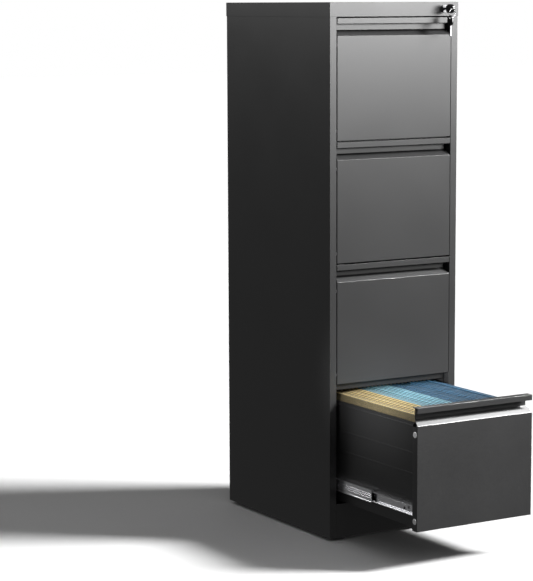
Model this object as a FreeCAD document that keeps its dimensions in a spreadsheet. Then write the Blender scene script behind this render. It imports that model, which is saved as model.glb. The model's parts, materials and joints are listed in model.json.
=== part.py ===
"""Four-drawer steel filing cabinet.

Frame: +X to the right, drawer fronts face -Y, +Z up.  The origin is on the floor, at the
middle of the cabinet's footprint.  Millimetres.  The bottom drawer stands open.
"""
import FreeCAD, Part
import math
import os

import Sketcher

doc = FreeCAD.newDocument("filing_cabinet")
sheet = doc.addObject("Spreadsheet::Sheet", "Sizes")

SIZES = {
    # the whole cabinet
    "cabinet_width": 380, "cabinet_depth": 500, "cabinet_height": 1330,
    "body_sheet": 1, "floor_gap": 8, "fit_gap": 0.3,
    # top cap
    "cap_skirt": 35, "cap_lip": 12,
    # back panel and base pan
    "panel_screw_margin": 60, "panel_screw_length": 10, "base_turn_up": 25,
    # front posts, rear flanges and kick rail
    "stile_width": 19, "stile_depth": 18, "rear_flange": 18,
    "kick_top": 93.5, "kick_return": 17,
    # gaps round the drawer fronts
    "top_gap": 3, "front_gap": 4, "side_gap": 2, "kick_gap": 2.5,
    # uprights and cross rails
    "upright_depth": 40, "upright_sheet": 1.5, "bar_corridor": 9, "rear_upright_gap": 20,
    "rail_height": 18, "rail_depth": 20,
    # drawer front
    "front_depth": 20, "front_sheet": 1, "lip_height": 13.5, "lip_hem": 4,
    "recess_height": 15, "slant_height": 14.5, "recess_inset": 6,
    # drawer tray
    "drawer_sheet": 1, "tray_lift": 5, "tray_drop": 39, "tray_length": 440,
    "hem_height": 8, "hem_depth": 2, "back_drop": 22,
    # telescopic slides
    "slide_thickness": 12.7, "slide_lift": 47, "slide_length": 435, "slide_set_back": 1,
    "outer_height": 38, "outer_sheet": 1.2, "outer_reach": 11,
    "middle_height": 31, "middle_start": 3.2, "middle_reach": 11.3,
    "inner_height": 25, "inner_start": 5.2, "member_sheet": 1,
    "bolt_reach": 6, "bolt_head_height": 1.4, "screw_head_rim": 2,
    # how far the bottom drawer stands open
    "drawer_open": 345,
    # fasteners
    "screw_radius": 2.5, "screw_clearance": 0.1, "front_screw_radius": 7.25, "front_screw_head": 1.2,
    "front_screw_low": 23.5, "front_screw_drop": 21.5, "front_screw_length": 6, "screw_land": 12,
    # levelling feet
    "foot_radius": 22, "foot_inset_x": 40, "foot_inset_y": 32, "stud_radius": 5, "stud_top": 32,
    "foot_edge": 1.5, "foot_rim": 5, "foot_height": 7, "foot_shoulder": 4, "stud_collar": 3,
    "nut_height": 6, "nut_corner_radius": 9.8,
    # lock
    "lock_inset": 43, "lock_drop": 17, "barrel_radius": 8, "barrel_length": 14,
    "bezel_radius": 10, "bezel_length": 3, "plug_radius": 5.95, "plug_clearance": 0.05,
    "cam_radius": 9.5, "cam_thickness": 2, "pin_offset": 5, "pin_radius": 1.9, "pin_clearance": 0.45,
    "lock_nut_height": 4, "tail_half": 2.5, "tail_stand": 1.5, "cam_gap": 0.2, "keyway_gap": 0.2,
    "cam_screw_radius": 1.5, "cam_screw_length": 3.5, "cam_screw_head": 4.5, "cam_screw_thickness": 2,
    "bar_thickness": 3, "bar_width": 13, "bar_set_back": 22.5, "bar_wall_gap": 2,
    "hook_lift": 34, "hook_height": 12, "hook_reach": 13, "lug_height": 31, "lug_set_back": 9,
    "lug_length": 16, "lug_side_gap": 3, "lug_lift": 2, "bar_head_left": 2, "bar_head_low": 16,
    "bar_head_top": 6, "bar_tail": 7, "guide_drop": 66, "guide_height": 20, "guide_wall": 1.2,
    # keys
    "bow_radius": 11, "bow_stretch": 10, "bow_thickness": 5, "blade_height": 6.4,
    "blade_thickness": 1.8, "neck_length": 7, "key_depth": 14, "key_hole_radius": 3,
    "key_hole_reach": 35, "ring_radius": 9, "ring_wire": 0.8, "hang_clearance": 0.6,
    # hanging folders in the bottom drawer
    "rail_bar": 2, "rail_bar_height": 14, "rail_drop": 28, "rod_length": 384, "rod_width": 3,
    "rod_height": 5, "folder_drop": 21, "folder_bottom": 30, "folder_gap": 1, "folder_taper": 12,
    "rail_inset": 3,
}
for row, (alias, size) in enumerate(SIZES.items(), start=1):
    sheet.set(f"A{row}", alias)
    sheet.set(f"B{row}", str(size))
    sheet.setAlias(f"B{row}", alias)
doc.recompute()

DRAWERS = (1, 2, 3, 4)
SIDES = (-1, 1)
FOLDERS = {"folders_yellow": 7, "folders_light_blue": 8, "folders_dark_blue": 12}
NODES = []


# ---------------------------------------------------------------- expressions and sketches

def size(name):
    """The expression that reads one cell."""
    return f"Sizes.{name}"


def number(expression):
    """The present value of an expression."""
    return float(sheet.evalExpression(expression))


def origin_plane(body, role):
    return next(plane for plane in body.Origin.OriginFeatures if plane.Role == role)


# A sketch on XY looks along +Z, one on YZ along +X and one on XZ along -Y.
NORMAL_SIGN = {"XY_Plane": 1, "YZ_Plane": 1, "XZ_Plane": -1}


def sketch_at(body, role, place):
    """A sketch parallel to an origin plane, where that plane's own axis equals place."""
    sketch = body.newObject("Sketcher::SketchObject", "Profile")
    sketch.AttachmentSupport = (origin_plane(body, role), [""])
    sketch.MapMode = "FlatFace"
    sketch.setExpression("AttachmentOffset.Base.z", f"{NORMAL_SIGN[role]} * ({place})")
    return sketch


def pin_point(sketch, geometry, point, across, up):
    """Ties a point to the sketch's origin by two expressions."""
    for kind, axis, expression in (("DistanceX", -2, across), ("DistanceY", -1, up)):
        if expression == "0":
            sketch.addConstraint(Sketcher.Constraint("PointOnObject", geometry, point, axis))
            continue
        value = number(expression)
        index = sketch.addConstraint(Sketcher.Constraint(kind, -1, 1, geometry, point, value))
        sketch.setExpression(f"Constraints[{index}]", expression)


def draw_outline(sketch, points):
    """A closed outline of straight lines through points, each a pair of expressions."""
    corners = [FreeCAD.Vector(number(across), number(up), 0) for across, up in points]
    for start, end in zip(corners, corners[1:] + corners[:1]):
        sketch.addGeometry(Part.LineSegment(start, end), False)
    count = len(points)
    for index in range(count):
        following = (index + 1) % count
        sketch.addConstraint(Sketcher.Constraint("Coincident", index, 2, following, 1))
    for index, (across, up) in enumerate(points):
        pin_point(sketch, index, 1, across, up)


def draw_circle(sketch, centre, radius):
    middle = FreeCAD.Vector(number(centre[0]), number(centre[1]), 0)
    index = sketch.addGeometry(Part.Circle(middle, FreeCAD.Vector(0, 0, 1), number(radius)), False)
    pin_point(sketch, index, 3, *centre)
    tie = sketch.addConstraint(Sketcher.Constraint("Radius", index, number(radius)))
    sketch.setExpression(f"Constraints[{tie}]", radius)


def rectangle(low_across, low_up, high_across, high_up):
    return [(low_across, low_up), (high_across, low_up), (high_across, high_up), (low_across, high_up)]


def add_pad(body, role, low, high, points=None, circle=None):
    """Adds material between two places on the plane's own axis."""
    place = low if NORMAL_SIGN[role] == 1 else high
    sketch = sketch_at(body, role, place)
    if points:
        draw_outline(sketch, points)
    else:
        draw_circle(sketch, *circle)
    pad = body.newObject("PartDesign::Pad", "Pad")
    pad.Profile = sketch
    pad.setExpression("Length", f"({high}) - ({low})")
    body.Tip = pad
    return pad


def add_pocket(body, role, low, high, points=None, circle=None):
    """Removes material between two places on the plane's own axis."""
    place = high if NORMAL_SIGN[role] == 1 else low
    sketch = sketch_at(body, role, place)
    if points:
        draw_outline(sketch, points)
    else:
        draw_circle(sketch, *circle)
    pocket = body.newObject("PartDesign::Pocket", "Pocket")
    pocket.Profile = sketch
    pocket.setExpression("Length", f"({high}) - ({low})")
    body.Tip = pocket
    return pocket


def new_body(label):
    body = doc.addObject("PartDesign::Body", label)
    body.Label = label
    return body


def place(item, across="0", along="0", up="0"):
    """Sets a sub-part's Placement from expressions."""
    for axis, expression in (("x", across), ("y", along), ("z", up)):
        if expression != "0":
            item.setExpression(f"Placement.Base.{axis}", expression)


def keep(item, label=None):
    """Names a finished sub-part, which becomes one file."""
    if label:
        item.Label = label
    NODES.append(item)
    return item


def gather(label, pieces):
    """Several separate solids of one kind in one sub-part."""
    group = doc.addObject("Part::Compound", label)
    group.Links = pieces
    return keep(group, label)


# ---------------------------------------------------------------- shared places

half_width = f"({size('cabinet_width')} / 2)"
half_depth = f"({size('cabinet_depth')} / 2)"
height = size("cabinet_height")
skin = size("body_sheet")
gap = size("fit_gap")

side_outer = f"({half_width} - {skin})"
side_inner = f"({half_width} - 2 * {skin})"
front_face = f"(-{half_depth} + {skin})"
rear_face = f"({half_depth} - 2 * {skin})"
skirt_bottom = f"({height} - {size('cap_skirt')})"
stile_inner = f"({side_outer} - {size('stile_width')})"
stile_rear = f"({front_face} + {size('stile_depth')})"
base_top = f"({size('floor_gap')} + 2 * {skin})"

front_bottom = f"({size('kick_top')} + {size('kick_gap')})"
pitch = f"(({skirt_bottom} - {size('top_gap')} + {size('front_gap')} - {front_bottom}) / {len(DRAWERS)})"
front_height = f"({pitch} - {size('front_gap')})"
panel_top = f"({front_height} - {size('lip_height')} - {size('recess_height')} - {size('slant_height')})"
front_screw_high = f"({panel_top} - {size('front_screw_drop')})"
tray_height = f"({front_height} - {size('tray_drop')} - {size('tray_lift')})"
folder_top = f"({front_height} - {size('folder_drop')})"
rail_top = f"({front_height} - {size('rail_drop')})"
front_half = f"({stile_inner} - {size('side_gap')})"
front_plane = f"(-{half_depth})"

tray_half = f"({stile_inner} - {size('slide_thickness')})"
tray_front = f"({size('front_depth')} + {size('drawer_sheet')})"
slide_front = f"({tray_front} + {size('slide_set_back')})"
slide_end = f"({slide_front} + {size('slide_length')})"

upright_front = f"({stile_rear} + {size('bar_corridor')})"
rear_upright_front = f"({rear_face} - {size('rear_upright_gap')} - {size('upright_depth')})"
upright_middles = [f"({start} + {size('upright_depth')} / 2)" for start in (upright_front, rear_upright_front)]

lock_across = f"({half_width} - {size('lock_inset')})"
lock_up = f"({height} - {size('lock_drop')})"

foot_across = f"({half_width} - {size('foot_inset_x')})"
foot_along = f"({half_depth} - {size('foot_inset_y')})"

screw_hole = f"({size('screw_radius')} + {size('screw_clearance')})"
head_radius = f"({size('screw_radius')} + {size('screw_head_rim')})"


def drawer_up(drawer):
    """Height of a drawer front's bottom edge above the floor."""
    return f"({front_bottom} + {len(DRAWERS) - drawer} * {pitch})"


def opening(drawer, share=1):
    """How far a piece that moves with a drawer stands out at rest."""
    if drawer != DRAWERS[-1]:
        return "0"
    return f"({share} * {size('drawer_open')})"


def drawer_along(drawer, share=1):
    return f"({front_plane} - {opening(drawer, share)})"


def slide_up(drawer):
    return f"({drawer_up(drawer)} + {size('slide_lift')})"


def mirrored(side, points):
    return [(f"{side} * {across}", up) for across, up in points]


# ---------------------------------------------------------------- carcass

def top_cap():
    """Pan that laps over the sides and the back, with the lock's hole in its front skirt."""
    body = new_body("top_cap")
    add_pad(body, "XY_Plane", skirt_bottom, height,
            rectangle(f"-{half_width}", f"-{half_depth}", half_width, half_depth))
    add_pocket(body, "XY_Plane", skirt_bottom, f"{height} - {skin}",
               rectangle(f"-{side_outer}", front_face, side_outer, f"({half_depth} - {skin})"))
    lip_half = f"({stile_inner} - {gap})"
    add_pad(body, "XY_Plane", skirt_bottom, f"{skirt_bottom} + {skin}",
            rectangle(f"-{lip_half}", front_face, lip_half, f"({front_face} + {size('cap_lip')})"))
    add_pocket(body, "XZ_Plane", front_plane, front_face,
               circle=((lock_across, lock_up), f"({size('barrel_radius')} + {size('screw_clearance')})"))
    return keep(body)


def panel_screw_ups():
    """Heights of the screws down each side of the back panel."""
    low = size("panel_screw_margin")
    rows = 4
    return [f"({low} + {row} * ({skirt_bottom} - 2 * {low}) / {rows - 1})" for row in range(rows)]


panel_screw_across = f"({side_outer} - {size('rear_flange')} / 2)"


def side_panel(label, side):
    """One folded sheet: box-shaped front stile, flat side and rear flange."""
    body = new_body(label)
    outline = [
        (side_outer, front_face),
        (side_outer, rear_face),
        (f"({side_outer} - {size('rear_flange')})", rear_face),
        (f"({side_outer} - {size('rear_flange')})", f"({rear_face} - {skin})"),
        (side_inner, f"({rear_face} - {skin})"),
        (side_inner, f"({front_face} + {skin})"),
        (f"({stile_inner} + {skin})", f"({front_face} + {skin})"),
        (f"({stile_inner} + {skin})", stile_rear),
        (stile_inner, stile_rear),
        (stile_inner, front_face),
    ]
    add_pad(body, "XY_Plane", size("floor_gap"), f"{height} - {skin}", mirrored(side, outline))
    for up in panel_screw_ups():
        add_pocket(body, "XZ_Plane", f"{rear_face} - {skin}", rear_face,
                   circle=((f"{side} * {panel_screw_across}", up), screw_hole))
    return keep(body)


def back_panel():
    """Flat sheet screwed to the side panels' rear flanges."""
    body = new_body("back_panel")
    half = f"({side_outer} - {gap})"
    add_pad(body, "XZ_Plane", rear_face, f"{rear_face} + {skin}",
            rectangle(f"-{half}", size("floor_gap"), half, f"({height} - {skin} - {gap})"))
    for side in SIDES:
        for up in panel_screw_ups():
            add_pocket(body, "XZ_Plane", rear_face, f"{rear_face} + {skin}",
                       circle=((f"{side} * {panel_screw_across}", up), screw_hole))
    return keep(body)


def panel_screws():
    """Pan-head screws of the back panel."""
    pieces = []
    outside = f"({rear_face} + {skin})"
    for side in SIDES:
        for up in panel_screw_ups():
            screw = new_body("panel_screw")
            centre = (f"{side} * {panel_screw_across}", up)
            add_pad(screw, "XZ_Plane", outside, f"{outside} + {skin}",
                    circle=(centre, head_radius))
            add_pad(screw, "XZ_Plane", f"{outside} - {size('panel_screw_length')}", outside,
                    circle=(centre, size("screw_radius")))
            pieces.append(screw)
    return gather("panel_screws", pieces)


def base_pan():
    """Floor sheet, notched round the stiles, turned up at the rear and drilled for the feet."""
    body = new_body("base_pan")
    low = f"({size('floor_gap')} + {skin})"
    narrow = f"({stile_inner} - {gap})"
    notch = f"({stile_rear} + {gap})"
    front = f"({front_face} + {skin})"
    rear = f"({rear_face} - {skin})"
    add_pad(body, "XY_Plane", low, base_top, [
        (f"-{narrow}", front), (narrow, front), (narrow, notch), (side_inner, notch),
        (side_inner, rear), (f"-{side_inner}", rear), (f"-{side_inner}", notch), (f"-{narrow}", notch)])
    add_pad(body, "XY_Plane", low, f"{base_top} + {size('base_turn_up')}",
            rectangle(f"-{side_inner}", f"({rear} - {skin})", side_inner, rear))
    for side in SIDES:
        for end in SIDES:
            add_pocket(body, "XY_Plane", low, base_top,
                       circle=((f"{side} * {foot_across}", f"{end} * {foot_along}"),
                               f"({size('stud_radius')} + {gap})"))
    return keep(body)


def kick_rail():
    """Channel across the front below the bottom drawer."""
    body = new_body("kick_rail")
    low = size("floor_gap")
    top = size("kick_top")
    inside = f"({front_face} + {skin})"
    rear = f"({front_face} + {size('kick_return')})"
    add_pad(body, "YZ_Plane", f"-{stile_inner}", stile_inner, [
        (front_face, low), (rear, low), (rear, f"({low} + {skin})"), (inside, f"({low} + {skin})"),
        (inside, f"({top} - {skin})"), (rear, f"({top} - {skin})"), (rear, top), (front_face, top)])
    return keep(body)


def uprights():
    """Four inner channels that carry the slides, welded to the side panels."""
    pieces = []
    wall = size("upright_sheet")
    for side in SIDES:
        for front in (upright_front, rear_upright_front):
            rear = f"({front} + {size('upright_depth')})"
            body = new_body("upright")
            add_pad(body, "XY_Plane", base_top, f"{height} - {skin}", mirrored(side, [
                (stile_inner, front), (side_inner, front), (side_inner, f"({front} + {wall})"),
                (f"({stile_inner} + {wall})", f"({front} + {wall})"),
                (f"({stile_inner} + {wall})", f"({rear} - {wall})"), (side_inner, f"({rear} - {wall})"),
                (side_inner, rear), (stile_inner, rear)]))
            middle = f"({front} + {size('upright_depth')} / 2)"
            reach = f"({stile_inner} + {wall})"
            low, high = (stile_inner, reach) if side == 1 else (f"-{reach}", f"-{stile_inner}")
            for drawer in DRAWERS:
                add_pocket(body, "YZ_Plane", low, high, circle=((middle, slide_up(drawer)), screw_hole))
            pieces.append(body)
    return gather("uprights", pieces)


def cross_rails():
    """Channels across the front, one between each two drawers."""
    pieces = []
    front = f"({front_plane} + {size('front_depth')} + {gap})"
    rear = f"({front} + {size('rail_depth')})"
    for drawer in DRAWERS[:-1]:
        top = drawer_up(drawer)
        low = f"({top} - {size('rail_height')})"
        rail = new_body("cross_rail")
        add_pad(rail, "YZ_Plane", f"-{stile_inner}", stile_inner, [
            (front, low), (rear, low), (rear, f"({low} + {skin})"),
            (f"({front} + {skin})", f"({low} + {skin})"), (f"({front} + {skin})", f"({top} - {skin})"),
            (rear, f"({top} - {skin})"), (rear, top), (front, top)])
        pieces.append(rail)
    return gather("cross_rails", pieces)


def levelling_feet():
    """Round pads on threaded studs."""
    pieces = []
    pad = size("foot_radius")
    stud = size("stud_radius")
    edge = size("foot_edge")
    collar = f"({stud} + {size('stud_collar')})"
    collar_top = f"({size('floor_gap')} - {gap})"
    for side in SIDES:
        for end in SIDES:
            foot = new_body("levelling_foot")
            sketch = sketch_at(foot, "XZ_Plane", "0")
            draw_outline(sketch, [
                ("0", "0"), (f"({pad} - {edge})", "0"), (pad, edge), (pad, size("foot_rim")),
                (f"({pad} - {size('foot_shoulder')})", size("foot_height")), (collar, size("foot_height")),
                (collar, collar_top), (stud, collar_top), (stud, f"({size('stud_top')} - {edge})"),
                (f"({stud} - {edge})", size("stud_top")), ("0", size("stud_top"))])
            turned = foot.newObject("PartDesign::Revolution", "Turned")
            turned.Profile = sketch
            turned.ReferenceAxis = (sketch, ["V_Axis"])
            turned.Angle = 360
            foot.Tip = turned
            place(foot, f"{side} * {foot_across}", f"{end} * {foot_along}")
            pieces.append(foot)
    return gather("levelling_feet", pieces)


def hexagon_ring(label, corner_radius, hole_radius, thickness):
    """A hexagonal nut about Z, standing on z = 0."""
    blank = doc.addObject("Part::Prism", label + "_blank")
    blank.Polygon = 6
    blank.setExpression("Circumradius", corner_radius)
    blank.setExpression("Height", thickness)
    hole = doc.addObject("Part::Cylinder", label + "_hole")
    hole.setExpression("Radius", hole_radius)
    hole.setExpression("Height", thickness)
    nut = doc.addObject("Part::Cut", label)
    nut.Base = blank
    nut.Tool = hole
    return nut


def foot_nuts():
    """Nuts welded on the base pan, one for each foot's stud."""
    pieces = []
    for side in SIDES:
        for end in SIDES:
            nut = hexagon_ring("foot_nut", size("nut_corner_radius"),
                               f"({size('stud_radius')} + {size('plug_clearance')})", size("nut_height"))
            place(nut, f"{side} * {foot_across}", f"{end} * {foot_along}", base_top)
            pieces.append(nut)
    return gather("foot_nuts", pieces)


# ---------------------------------------------------------------- telescopic slides

def slide_member(label, side, web_outer, web_inner, arm_end, half, wall, low, high):
    """One rolled member: web between two places across, arms reaching to arm_end."""
    body = new_body(label)
    add_pad(body, "XZ_Plane", low, high, mirrored(side, [
        (web_outer, f"(-{half})"), (web_outer, half), (arm_end, half), (arm_end, f"({half} - {wall})"),
        (web_inner, f"({half} - {wall})"), (web_inner, f"({wall} - {half})"),
        (arm_end, f"({wall} - {half})"), (arm_end, f"(-{half})")]))
    return body


def slide_outer(drawer):
    """Cabinet members, bolted to the uprights."""
    pieces = []
    wall = size("outer_sheet")
    web_inner = f"({stile_inner} - {wall})"
    half = f"({size('outer_height')} / 2)"
    for side in SIDES:
        member = slide_member("outer_member", side, stile_inner, web_inner,
                              f"({stile_inner} - {size('outer_reach')})", half, wall, slide_front, slide_end)
        low, high = (web_inner, stile_inner) if side == 1 else (f"-{stile_inner}", f"-{web_inner}")
        for middle in upright_middles:
            add_pocket(member, "YZ_Plane", low, high, circle=((f"({middle} - {front_plane})", "0"), screw_hole))
        place(member, "0", front_plane, slide_up(drawer))
        pieces.append(member)
    return gather(f"slide_outer_{drawer}", pieces)


def slide_middle(drawer):
    """Middle members, which run half as far as the drawer."""
    pieces = []
    wall = size("member_sheet")
    web_outer = f"({stile_inner} - {size('middle_start')})"
    half = f"({size('middle_height')} / 2)"
    for side in SIDES:
        member = slide_member("middle_member", side, web_outer, f"({web_outer} - {wall})",
                              f"({stile_inner} - {size('middle_reach')})", half, wall, slide_front, slide_end)
        place(member, "0", drawer_along(drawer, 0.5), slide_up(drawer))
        pieces.append(member)
    return gather(f"slide_middle_{drawer}", pieces)


def slide_inner(drawer):
    """Drawer members, riveted to the tray; the right one has the lug that the lock's hook catches."""
    pieces = []
    wall = size("member_sheet")
    web_inner = f"({tray_half} + {wall})"
    half = f"({size('inner_height')} / 2)"
    for side in SIDES:
        member = slide_member("inner_member", side, tray_half, web_inner,
                              f"({stile_inner} - {size('inner_start')})", half, wall, slide_front, slide_end)
        if side == 1:
            lug = f"({slide_front} + {size('lug_set_back')})"
            flap_low = f"({size('outer_height')} / 2 + {size('lug_lift')})"
            add_pad(member, "YZ_Plane", tray_half, web_inner,
                    rectangle(lug, f"({half} - {wall})", f"({lug} + {size('lug_length')})", size("lug_height")))
            add_pad(member, "YZ_Plane", tray_half, f"{stile_inner} - {size('lug_side_gap')}",
                    rectangle(lug, flap_low, f"({lug} + 2 * {wall})", size("lug_height")))
        place(member, "0", drawer_along(drawer), slide_up(drawer))
        pieces.append(member)
    return gather(f"slide_inner_{drawer}", pieces)


def slide_bolts():
    """Bolts through the cabinet members into the uprights."""
    pieces = []
    face = f"({stile_inner} - {size('outer_sheet')})"
    for drawer in DRAWERS:
        for side in SIDES:
            for middle in upright_middles:
                bolt = new_body("slide_bolt")
                centre = (middle, slide_up(drawer))
                head_low, head_high = f"({face} - {size('bolt_head_height')})", face
                shank_low, shank_high = face, f"({stile_inner} + {size('bolt_reach')})"
                if side == -1:
                    head_low, head_high = f"-{head_high}", f"-{head_low}"
                    shank_low, shank_high = f"-{shank_high}", f"-{shank_low}"
                add_pad(bolt, "YZ_Plane", head_low, head_high, circle=(centre, head_radius))
                add_pad(bolt, "YZ_Plane", shank_low, shank_high, circle=(centre, size("screw_radius")))
                pieces.append(bolt)
    return gather("slide_bolts", pieces)


# ---------------------------------------------------------------- drawers

front_screw_along = f"({size('front_depth')} / 2)"


def drawer_front(drawer):
    """Folded front: flat panel, slanted finger recess, rear wall and a turned-down lip."""
    body = new_body(f"drawer_front_{drawer}")
    wall = size("front_sheet")
    depth = size("front_depth")
    rear = f"({depth} - {wall})"
    lip_low = f"({front_height} - {size('lip_height')})"
    wall_low = f"({lip_low} - {size('recess_height')})"
    drop = f"(1.25 * {wall})"
    narrow = f"({front_half} - {size('recess_inset')})"
    add_pad(body, "YZ_Plane", f"-{front_half}", front_half, [
        ("0", "0"), ("0", panel_top), (rear, wall_low), (depth, wall_low),
        (depth, f"({wall_low} - {drop} / 2)"), (wall, f"({panel_top} - {drop} / 2)"),
        (wall, wall), (depth, wall), (depth, "0")])
    for side in SIDES:
        over = f"({front_half} + {wall})"
        add_pocket(body, "XZ_Plane", f"-{wall}", f"{depth} + {wall}", mirrored(side, [
            (front_half, panel_top), (narrow, wall_low), (narrow, f"({wall_low} + {wall})"),
            (over, f"({wall_low} + {wall})"), (over, panel_top)]))
    add_pad(body, "YZ_Plane", f"-{narrow}", narrow,
            rectangle(rear, f"({wall_low} - {drop} / 2)", depth, front_height))
    add_pad(body, "YZ_Plane", f"-{front_half}", front_half, [
        ("0", lip_low), ("0", front_height), (depth, front_height), (depth, f"({front_height} - {wall})"),
        (wall, f"({front_height} - {wall})"), (wall, f"({lip_low} + {wall})"),
        (size("lip_hem"), f"({lip_low} + {wall})"), (size("lip_hem"), lip_low)])
    side_top = f"({panel_top} - 3 * {wall})"
    for side in SIDES:
        low, high = f"({front_half} - {wall})", front_half
        if side == -1:
            low, high = f"-{high}", f"-{low}"
        add_pad(body, "YZ_Plane", low, high, rectangle(wall, "0", depth, side_top))
        for up in (size("front_screw_low"), front_screw_high):
            add_pocket(body, "YZ_Plane", low, high, circle=((front_screw_along, up), screw_hole))
    place(body, "0", drawer_along(drawer), drawer_up(drawer))
    return keep(body)


def drawer_liner(drawer):
    """Inner pan that closes the back of the front and carries its screws."""
    body = new_body(f"drawer_liner_{drawer}")
    wall = size("drawer_sheet")
    half = f"({front_half} - {size('front_sheet')} - {gap})"
    low = f"({size('front_sheet')} + 1)"
    top = f"({size('tray_lift')} + {tray_height})"
    back = size("front_depth")
    add_pad(body, "XZ_Plane", back, tray_front, rectangle(f"-{half}", low, half, top))
    for side in SIDES:
        near, far = f"({half} - {wall})", half
        if side == -1:
            near, far = f"-{far}", f"-{near}"
        add_pad(body, "YZ_Plane", near, far,
                rectangle(f"({size('front_sheet')} + 2)", low, back,
                          f"({front_screw_high} + {size('screw_land')})"))
        for up in (size("front_screw_low"), front_screw_high):
            add_pocket(body, "YZ_Plane", near, far, circle=((front_screw_along, up), screw_hole))
    place(body, "0", drawer_along(drawer), drawer_up(drawer))
    return keep(body)


def front_screws(drawer):
    """Large flat-headed screws in the front's side returns."""
    pieces = []
    for side in SIDES:
        for up in (size("front_screw_low"), front_screw_high):
            screw = new_body("front_screw")
            head_low, head_high = front_half, f"({front_half} + {size('front_screw_head')})"
            shank_low, shank_high = f"({front_half} - {size('front_screw_length')})", front_half
            if side == -1:
                head_low, head_high = f"-{head_high}", f"-{head_low}"
                shank_low, shank_high = f"-{shank_high}", f"-{shank_low}"
            centre = (front_screw_along, up)
            add_pad(screw, "YZ_Plane", head_low, head_high, circle=(centre, size("front_screw_radius")))
            add_pad(screw, "YZ_Plane", shank_low, shank_high, circle=(centre, size("screw_radius")))
            place(screw, "0", drawer_along(drawer), drawer_up(drawer))
            pieces.append(screw)
    return gather(f"front_screws_{drawer}", pieces)


def drawer_tray(drawer):
    """Bottom and sides in one folded sheet, hemmed along the top edges."""
    body = new_body(f"drawer_tray_{drawer}")
    wall = size("drawer_sheet")
    low = size("tray_lift")
    top = f"({low} + {tray_height})"
    inside = f"({tray_half} - {wall})"
    hem = f"({tray_half} - {size('hem_depth')})"
    hem_low = f"({top} - {size('hem_height')})"
    floor = f"({low} + {wall})"
    right = [(tray_half, low), (tray_half, top), (hem, top), (hem, hem_low), (inside, hem_low), (inside, floor)]
    left = [(f"-{across}", up) for across, up in reversed(right)]
    add_pad(body, "XZ_Plane", tray_front, f"{tray_front} + {size('tray_length')}", right + left)
    place(body, "0", drawer_along(drawer), drawer_up(drawer))
    return keep(body)


def drawer_back(drawer):
    """Plate across the tray's rear end, hemmed along its top."""
    body = new_body(f"drawer_back_{drawer}")
    wall = size("drawer_sheet")
    half = f"({tray_half} - {wall} - {size('screw_clearance')})"
    floor = f"({size('tray_lift')} + {wall})"
    top = f"({size('tray_lift')} + {tray_height} - {size('back_drop')})"
    rear = f"({tray_front} + {size('tray_length')})"
    add_pad(body, "YZ_Plane", f"-{half}", half, [
        (f"({rear} - {wall})", floor), (rear, floor), (rear, top), (f"({rear} - {size('hem_height')})", top),
        (f"({rear} - {size('hem_height')})", f"({top} - {wall})"), (f"({rear} - {wall})", f"({top} - {wall})")])
    place(body, "0", drawer_along(drawer), drawer_up(drawer))
    return keep(body)


# ---------------------------------------------------------------- hanging folders

hem_inner = f"({tray_half} - {size('hem_depth')})"
rod_start = f"({tray_front} - 1 + {size('rail_bar')})"
rod_end = f"({rod_start} + {size('rod_length')})"
bar_inset = size("rail_inset")


def folder_rails(drawer):
    """Two flat bars across the tray that the folders' rods rest on."""
    pieces = []
    low = f"({rail_top} - {size('rail_bar_height')})"
    for start in (f"({rod_start} + {bar_inset})", f"({rod_end} - {bar_inset} - {size('rail_bar')})"):
        bar = new_body("folder_rail")
        add_pad(bar, "XZ_Plane", start, f"{start} + {size('rail_bar')}",
                rectangle(f"-{hem_inner}", low, hem_inner, rail_top))
        place(bar, "0", drawer_along(drawer), drawer_up(drawer))
        pieces.append(bar)
    return gather("folder_rails", pieces)


def folder_middles():
    """Places of the folders across the tray, from left to right."""
    count = sum(FOLDERS.values())
    step = f"((2 * {hem_inner} - {size('folder_gap')}) / {count})"
    return step, [f"({step} * {index + 0.5 - count / 2})" for index in range(count)]


def folders(drawer):
    """Filled folders, each with a groove along its top for its rod, and the rods."""
    step, middles = folder_middles()
    half = f"(({step} - {size('folder_gap')}) / 2)"
    slot = f"({size('rod_width')} / 2 + {size('screw_clearance')})"
    slot_low = f"({rail_top} - {size('screw_clearance')})"
    start = f"({rod_start} + {bar_inset} + {size('rail_bar')} + 1)"
    end = f"({rod_end} - {bar_inset} - {size('rail_bar')} - 1)"
    rods = []
    first = 0
    for label, count in FOLDERS.items():
        pieces = []
        for middle in middles[first:first + count]:
            folder = new_body("folder")
            top = folder_top
            low = size("folder_bottom")
            taper_top = f"({low} + {size('folder_taper')})"
            add_pad(folder, "XZ_Plane", start, end, [
                (f"({middle} - {half} / 2)", low), (f"({middle} + {half} / 2)", low),
                (f"({middle} + {half})", taper_top), (f"({middle} + {half})", top),
                (f"({middle} + {slot})", top), (f"({middle} + {slot})", slot_low),
                (f"({middle} - {slot})", slot_low), (f"({middle} - {slot})", top),
                (f"({middle} - {half})", top), (f"({middle} - {half})", taper_top)])
            place(folder, "0", drawer_along(drawer), drawer_up(drawer))
            pieces.append(folder)
            rod = new_body("folder_rod")
            add_pad(rod, "XZ_Plane", rod_start, rod_end,
                    rectangle(f"({middle} - {size('rod_width')} / 2)", rail_top,
                              f"({middle} + {size('rod_width')} / 2)",
                              f"({rail_top} + {size('rod_height')})"))
            place(rod, "0", drawer_along(drawer), drawer_up(drawer))
            rods.append(rod)
        gather(label, pieces)
        first += count
    return gather("folder_rods", rods)


# ---------------------------------------------------------------- lock

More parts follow.
